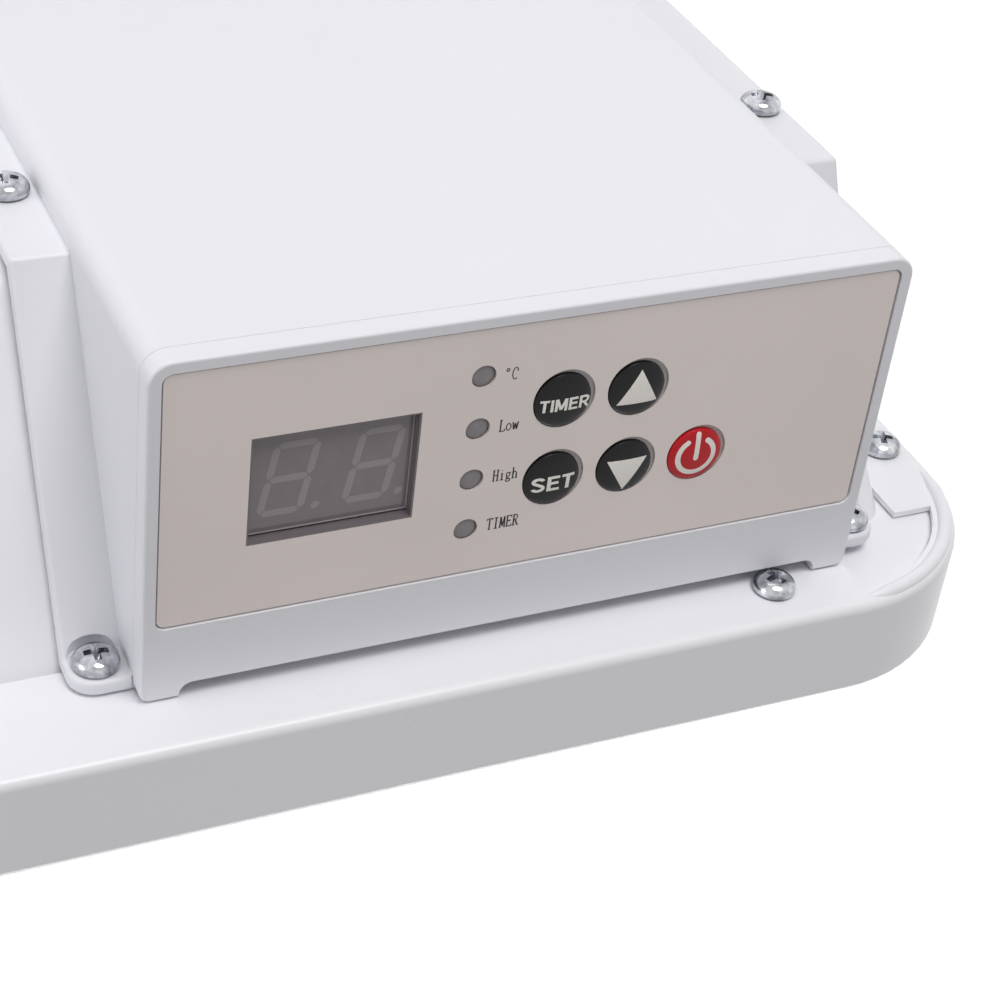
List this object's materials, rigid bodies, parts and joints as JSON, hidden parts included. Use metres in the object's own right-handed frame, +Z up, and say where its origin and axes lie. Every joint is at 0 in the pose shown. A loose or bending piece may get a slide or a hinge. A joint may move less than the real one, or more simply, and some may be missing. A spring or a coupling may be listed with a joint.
{
  "type": "wall panel convector heater",
  "caption": "Flat white wall convector heater with rounded corners, outlet louvres in front and a control box with push buttons and a display on its back.",
  "frame": {"origin": "middle of the back cover's flat rear face, which lies against the wall bracket", "axes": "+X to the right seen from the room, +Y towards the wall, +Z up"},
  "size_m": [0.6, 0.0752, 0.43],
  "materials": {
    "white_steel": "white powder coat, semi-gloss",
    "white_abs": "white moulded, fine satin",
    "silver_film": "warm silver-grey printed film",
    "smoked_lens": "smoked, clear gloss",
    "display_grey": "dark grey moulded",
    "lamp_grey": "unlit grey lens",
    "black_cap": "black domed cap",
    "red_cap": "red and silver domed cap",
    "green_board": "solder-masked board",
    "black_part": "black moulded",
    "blue_relay": "blue relay case",
    "cream_part": "cream terminal strip",
    "aluminium": "mill finish",
    "galvanised": "galvanised",
    "ceramic": "steatite ceramic",
    "rubber": "black rubber",
    "zinc": "bright zinc plate"
  },
  "bodies": {
    "root": {"front_shell": "white_steel", "back_cover": "white_steel", "control_housing": "white_abs", "front_bezel": "white_abs", "cable_gland": "white_abs", "fascia_label": "silver_film", "display_window": "smoked_lens", "display_module": "display_grey", "indicator_lamp_1": "lamp_grey", "indicator_lamp_2": "lamp_grey", "indicator_lamp_3": "lamp_grey", "indicator_lamp_4": "lamp_grey", "control_board": "green_board", "power_board": "green_board", "switch_timer": "black_part", "switch_up": "black_part", "switch_set": "black_part", "switch_down": "black_part", "switch_power": "black_part", "board_transformer": "black_part", "overheat_cutout": "black_part", "relay_low": "blue_relay", "relay_high": "blue_relay", "terminal_block": "cream_part", "heating_element_upper": "aluminium", "heating_element_lower": "aluminium", "reflector_plate": "aluminium", "element_bracket_left": "galvanised", "element_bracket_right": "galvanised", "element_bush_upper_left": "ceramic", "element_bush_upper_right": "ceramic", "element_bush_lower_left": "ceramic", "element_bush_lower_right": "ceramic", "wire_grommet": "rubber", "cover_screw_1": "zinc", "cover_screw_2": "zinc", "cover_screw_3": "zinc", "cover_screw_4": "zinc", "cover_screw_5": "zinc", "cover_screw_6": "zinc", "cover_screw_7": "zinc", "cover_screw_8": "zinc", "cover_screw_9": "zinc", "cover_screw_10": "zinc", "housing_screw_1": "zinc", "housing_screw_2": "zinc", "housing_screw_3": "zinc", "housing_screw_4": "zinc", "housing_screw_5": "zinc", "housing_screw_6": "zinc"},
    "button_timer": {"button_timer": "black_cap"},
    "button_up": {"button_up": "black_cap"},
    "button_set": {"button_set": "black_cap"},
    "button_down": {"button_down": "black_cap"},
    "button_power": {"button_power": "red_cap"}
  },
  "joints": [
    {"name": "timer_press", "type": "slide", "parent": "root", "child": "button_timer", "axis": [0, 0, -1], "range_m": [0, 0.0005], "stiffness_N_per_m": 600},
    {"name": "up_press", "type": "slide", "parent": "root", "child": "button_up", "axis": [0, 0, -1], "range_m": [0, 0.0005], "stiffness_N_per_m": 600},
    {"name": "set_press", "type": "slide", "parent": "root", "child": "button_set", "axis": [0, 0, -1], "range_m": [0, 0.0005], "stiffness_N_per_m": 600},
    {"name": "down_press", "type": "slide", "parent": "root", "child": "button_down", "axis": [0, 0, -1], "range_m": [0, 0.0005], "stiffness_N_per_m": 600},
    {"name": "power_press", "type": "slide", "parent": "root", "child": "button_power", "axis": [0, 0, -1], "range_m": [0, 0.0005], "stiffness_N_per_m": 600}
  ]
}
